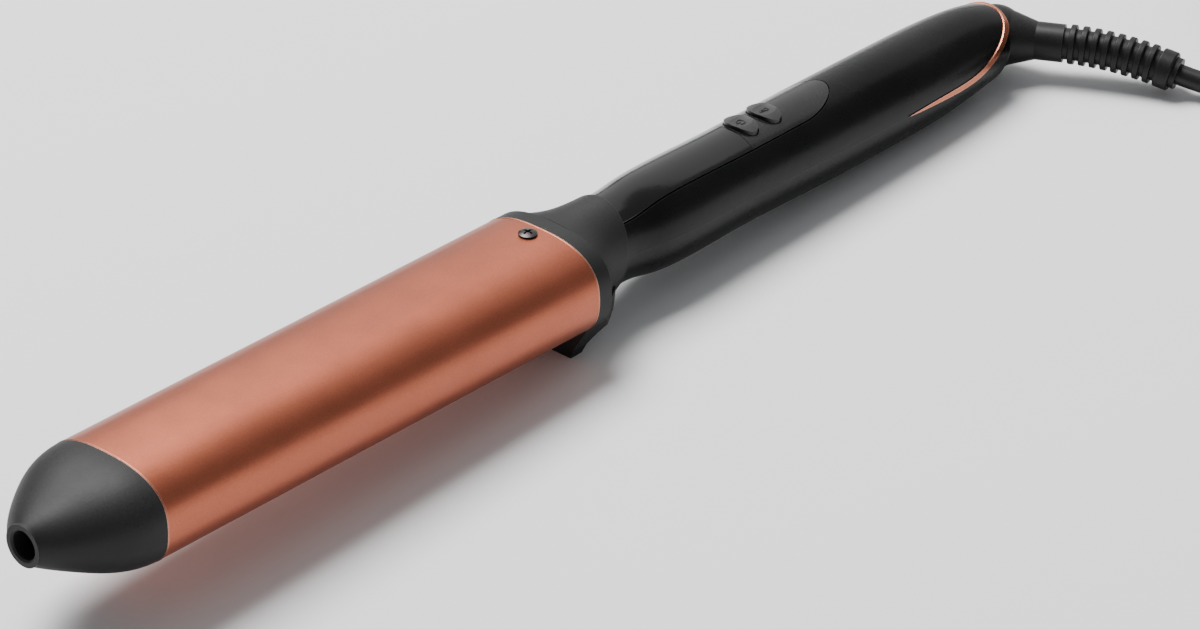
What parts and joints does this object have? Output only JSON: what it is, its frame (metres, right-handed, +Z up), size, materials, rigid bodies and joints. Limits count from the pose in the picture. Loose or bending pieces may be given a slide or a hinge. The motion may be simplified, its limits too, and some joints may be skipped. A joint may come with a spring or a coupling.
{
  "type": "curling iron",
  "caption": "Oval-barrel curling iron with a cool tip, a stand foot under its collar, a handle with push buttons and a swivelling mains cord.",
  "frame": {"origin": "middle of the wand, on the table under it", "axes": "+X towards the cord end, +Z up, -Y the side that the cord leaves to at rest"},
  "size_m": [0.5135, 0.1097, 0.0415],
  "materials": {
    "grey_plastic": "dark grey heat-proof plastic, satin, fine moulded grain",
    "copper_coating": "copper-coloured ceramic coating on aluminium, satin",
    "black_steel": "blackened steel",
    "ceramic_white": "fired ceramic, matt",
    "bare_aluminium": "pressed aluminium, mill finish",
    "spring_steel": "spring steel, bright",
    "ceramic_dark": "heater ceramic in brown film",
    "sensor_glass": "glass bead sensor",
    "white_lead": "glass-braid silicone lead",
    "black_plastic": "black plastic, satin, fine moulded grain",
    "copper_trim": "copper-plated plastic, satin",
    "zinc_steel": "zinc-plated steel",
    "smoked_gloss": "smoked glossy plastic",
    "black_plastic_gloss": "black glossy plastic",
    "button_plastic": "dark plastic, satin",
    "board_green": "green circuit board",
    "switch_black": "black component plastic",
    "lamp_white": "white lamp body",
    "clear_plastic": "frosted clear plastic",
    "capacitor_yellow": "yellow boxed capacitor",
    "bush_plastic": "black bearing plastic",
    "brass_contact": "brass, bright",
    "guard_rubber": "soft black moulding, satin",
    "cord_rubber": "black flexible sheath, satin",
    "tie_plastic": "black strap",
    "plug_rubber": "black moulded plug, satin",
    "plug_metal": "nickel-plated brass"
  },
  "bodies": {
    "wand": {"barrel_screw": "black_steel", "barrel_tube": "copper_coating", "board_screws": "zinc_steel", "button_panel": "black_plastic_gloss", "ceramic_heater": "ceramic_dark", "clamp_springs": "spring_steel", "collar": "grey_plastic", "contact_brushes": "brass_contact", "control_board": "board_green", "handle_lower_shell": "black_plastic", "handle_upper_shell": "black_plastic", "heater_leads": "white_lead", "indicator_lamps": "lamp_white", "indicator_window": "smoked_gloss", "light_guide": "clear_plastic", "lower_heat_spreader": "bare_aluminium", "push_switches": "switch_black", "rear_insulator": "ceramic_white", "rear_trim": "copper_trim", "shell_screws": "zinc_steel", "suppression_capacitor": "capacitor_yellow", "temperature_sensor": "sensor_glass", "thermal_fuse": "spring_steel", "tip_cap": "grey_plastic", "tip_insulator": "ceramic_white", "tip_screw": "black_steel", "triac": "switch_black", "upper_heat_spreader": "bare_aluminium"},
    "power_button": {"power_button": "button_plastic"},
    "temperature_button": {"temperature_button": "button_plastic"},
    "swivel": {"swivel_bush": "bush_plastic", "bush_clip": "spring_steel", "slip_rings": "brass_contact", "swivel_pin": "zinc_steel"},
    "cord": {"cord_guard": "guard_rubber", "cord_lead": "cord_rubber", "cord_coil": "cord_rubber", "cord_tail": "cord_rubber", "cord_tie": "tie_plastic", "plug_body": "plug_rubber", "plug_pins": "plug_metal"}
  },
  "joints": [
    {"name": "power_button_press", "type": "slide", "parent": "wand", "child": "power_button", "axis": [-0.0519, 0, -0.9987], "range_m": [0, 0.0008], "stiffness_N_per_m": 600, "springref_m": -0.0005},
    {"name": "temperature_button_press", "type": "slide", "parent": "wand", "child": "temperature_button", "axis": [-0.0519, 0, -0.9987], "range_m": [0, 0.0008], "stiffness_N_per_m": 600, "springref_m": -0.0005},
    {"name": "swivel_spin", "type": "hinge", "parent": "wand", "child": "swivel", "pos_m": [0.17776, 0, 0.01085], "axis": [0.9987, 0, -0.0519], "continuous": true},
    {"name": "cord_guard_tilt", "type": "hinge", "parent": "swivel", "child": "cord", "pos_m": [0.17776, 0, 0.01085], "axis": [0.0519, 0, 0.9987], "range_deg": [0, 60]}
  ]
}
